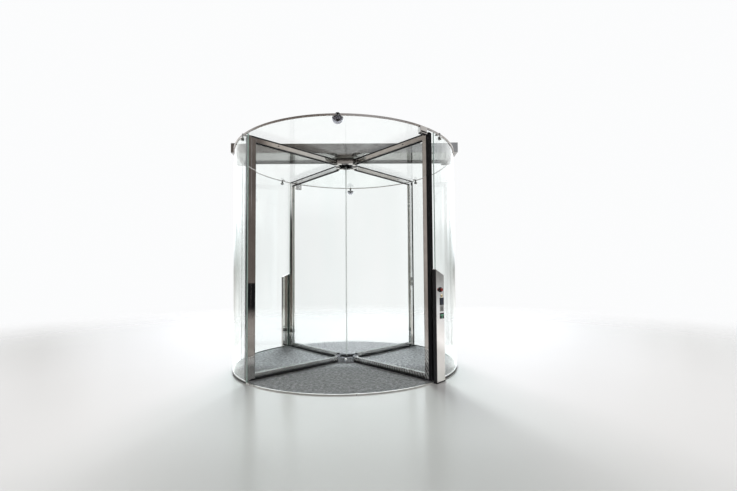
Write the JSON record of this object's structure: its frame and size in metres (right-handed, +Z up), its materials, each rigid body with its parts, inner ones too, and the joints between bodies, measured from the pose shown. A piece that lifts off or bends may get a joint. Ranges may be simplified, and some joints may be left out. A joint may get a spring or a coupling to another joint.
{
  "type": "revolving door",
  "caption": "Glass revolving door: four framed glass wings turning in a round glass drum with a glass canopy under a steel transom, with mat, sensors and control posts.",
  "frame": {"origin": "on the drum's vertical axis at floor level", "axes": "+Z up, -Y toward the inside of the building, +Y toward the street, +X along the facade to the right as seen from inside"},
  "size_m": [2.75, 2.882, 2.689],
  "materials": {
    "drum_glass": "clear curved float glass, green at its edges",
    "canopy_glass": "clear laminated glass",
    "wing_glass": "clear toughened glass",
    "polished_steel": "mirror polished stainless steel",
    "rim_steel": "fine brushed stainless steel, dark from below",
    "satin_steel": "satin stainless steel",
    "clamp_steel": "dark satin steel",
    "dark_metal": "satin black paint",
    "brush_seal": "black brush pile in a rubber holder",
    "silicone": "translucent grey silicone",
    "entrance_mat": "ribbed grey carpet in narrow aluminium strips",
    "sensor_grey": "dark grey gloss",
    "black_panel": "black gloss",
    "red_plastic": "red gloss"
  },
  "bodies": {
    "drum": {"button_collars": "black_panel", "canopy_back": "canopy_glass", "canopy_clamps": "clamp_steel", "canopy_front": "canopy_glass", "canopy_rim_back": "rim_steel", "canopy_rim_front": "rim_steel", "canopy_seal_strips": "dark_metal", "control_posts": "polished_steel", "entrance_mat": "entrance_mat", "floor_bearing": "satin_steel", "motion_sensors": "sensor_grey", "post_panels": "black_panel", "post_side_covers": "dark_metal", "presence_sensors": "polished_steel", "thresholds": "satin_steel", "top_bearing": "satin_steel", "transom": "polished_steel", "transom_brackets": "dark_metal", "wall_base_rails": "dark_metal", "wall_joint_strips": "silicone", "wall_left_back": "drum_glass", "wall_left_front": "drum_glass", "wall_right_back": "drum_glass", "wall_right_front": "drum_glass"},
    "rotor": {"bottom_hub": "polished_steel", "top_hub": "polished_steel", "wing_1_bottom_rail": "polished_steel", "wing_1_glass": "wing_glass", "wing_1_seals": "brush_seal", "wing_1_stile": "polished_steel", "wing_1_top_rail": "polished_steel", "wing_2_bottom_rail": "polished_steel", "wing_2_glass": "wing_glass", "wing_2_seals": "brush_seal", "wing_2_stile": "polished_steel", "wing_2_top_rail": "polished_steel", "wing_3_bottom_rail": "polished_steel", "wing_3_glass": "wing_glass", "wing_3_seals": "brush_seal", "wing_3_stile": "polished_steel", "wing_3_top_rail": "polished_steel", "wing_4_bottom_rail": "polished_steel", "wing_4_glass": "wing_glass", "wing_4_seals": "brush_seal", "wing_4_stile": "polished_steel", "wing_4_top_rail": "polished_steel"},
    "front_button": {"stop_button_front": "red_plastic"},
    "back_button": {"stop_button_back": "red_plastic"}
  },
  "joints": [
    {"name": "door_turn", "type": "hinge", "parent": "drum", "child": "rotor", "pos_m": [0, 0, 0], "axis": [0, 0, 1], "continuous": true},
    {"name": "front_stop_press", "type": "slide", "parent": "drum", "child": "front_button", "axis": [-0.7145, 0.6997, 0], "range_m": [0, 0.004], "stiffness_N_per_m": 400},
    {"name": "back_stop_press", "type": "slide", "parent": "drum", "child": "back_button", "axis": [0.7145, -0.6997, 0], "range_m": [0, 0.004], "stiffness_N_per_m": 400}
  ]
}
